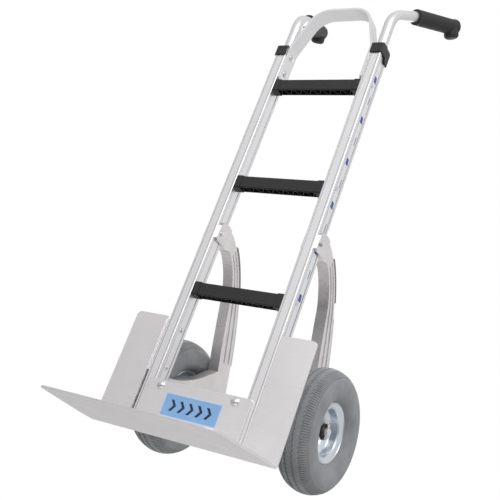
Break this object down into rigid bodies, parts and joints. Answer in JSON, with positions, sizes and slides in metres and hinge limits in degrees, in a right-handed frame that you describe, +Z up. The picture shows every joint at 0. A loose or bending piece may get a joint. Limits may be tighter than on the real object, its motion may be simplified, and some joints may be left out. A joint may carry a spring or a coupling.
{
  "type": "hand truck",
  "caption": "Upright two-wheeled hand truck with a ladder frame, folded toe plate, curved wheel brackets, twin grips and a loop handle.",
  "frame": {"origin": "middle of the bounding box at floor level", "axes": "+Z up; +X to the right for someone who faces the load side; +Y from the load side to the user's side, with the wheels at +Y"},
  "size_m": [0.465, 0.5425, 1.2558],
  "materials": {
    "rail_aluminium": "satin extruded",
    "sheet_aluminium": "satin rolled",
    "bracket_aluminium": "satin, slightly darker",
    "loop_aluminium": "satin, bright",
    "tube_aluminium": "satin drawn",
    "grip_rubber": "matte black",
    "black_plastic": "matte black, fine grain",
    "skid_plastic": "matte black, worn",
    "grey_rubber": "matte grey",
    "zinc_rim": "bright zinc",
    "hub_steel": "zinc",
    "bushing_plastic": "matte black",
    "label_film": "light blue film with a pale border",
    "strip_film": "white film with small blue marks",
    "axle_steel": "bright turned",
    "fastener_steel": "bright zinc"
  },
  "bodies": {
    "frame": {"axle": "axle_steel", "axle_pins": "fastener_steel", "axle_washers": "fastener_steel", "base_channel": "sheet_aluminium", "bracket_bolts": "fastener_steel", "bracket_left": "bracket_aluminium", "bracket_nuts": "fastener_steel", "bracket_right": "bracket_aluminium", "cap_screws": "fastener_steel", "crossbar_bottom": "black_plastic", "crossbar_middle": "black_plastic", "crossbar_screws": "fastener_steel", "crossbar_top": "black_plastic", "grip_left": "grip_rubber", "grip_right": "grip_rubber", "guard_angles": "sheet_aluminium", "guard_bolts": "fastener_steel", "guard_nuts": "fastener_steel", "handle_left": "tube_aluminium", "handle_right": "tube_aluminium", "label_plate": "label_film", "loop_rivets": "fastener_steel", "rail_cap_left": "black_plastic", "rail_cap_right": "black_plastic", "rail_left": "rail_aluminium", "rail_right": "rail_aluminium", "skid_lower_left": "skid_plastic", "skid_lower_right": "skid_plastic", "skid_upper_left": "skid_plastic", "skid_upper_right": "skid_plastic", "strip_left": "strip_film", "strip_right": "strip_film", "toe_bolts": "fastener_steel", "toe_nuts": "fastener_steel", "toe_plate": "sheet_aluminium", "top_loop": "loop_aluminium"},
    "wheel_left": {"bushings_left": "bushing_plastic", "hub_left": "hub_steel", "rim_bolts_left": "fastener_steel", "rim_inner_left": "zinc_rim", "rim_nuts_left": "fastener_steel", "rim_outer_left": "zinc_rim", "tyre_left": "grey_rubber"},
    "wheel_right": {"bushings_right": "bushing_plastic", "hub_right": "hub_steel", "rim_bolts_right": "fastener_steel", "rim_inner_right": "zinc_rim", "rim_nuts_right": "fastener_steel", "rim_outer_right": "zinc_rim", "tyre_right": "grey_rubber"}
  },
  "joints": [
    {"name": "wheel_left_spin", "type": "hinge", "parent": "frame", "child": "wheel_left", "pos_m": [-0.19, 0.13875, 0.1325], "axis": [1, 0, 0], "continuous": true},
    {"name": "wheel_right_spin", "type": "hinge", "parent": "frame", "child": "wheel_right", "pos_m": [0.19, 0.13875, 0.1325], "axis": [1, 0, 0], "continuous": true}
  ]
}
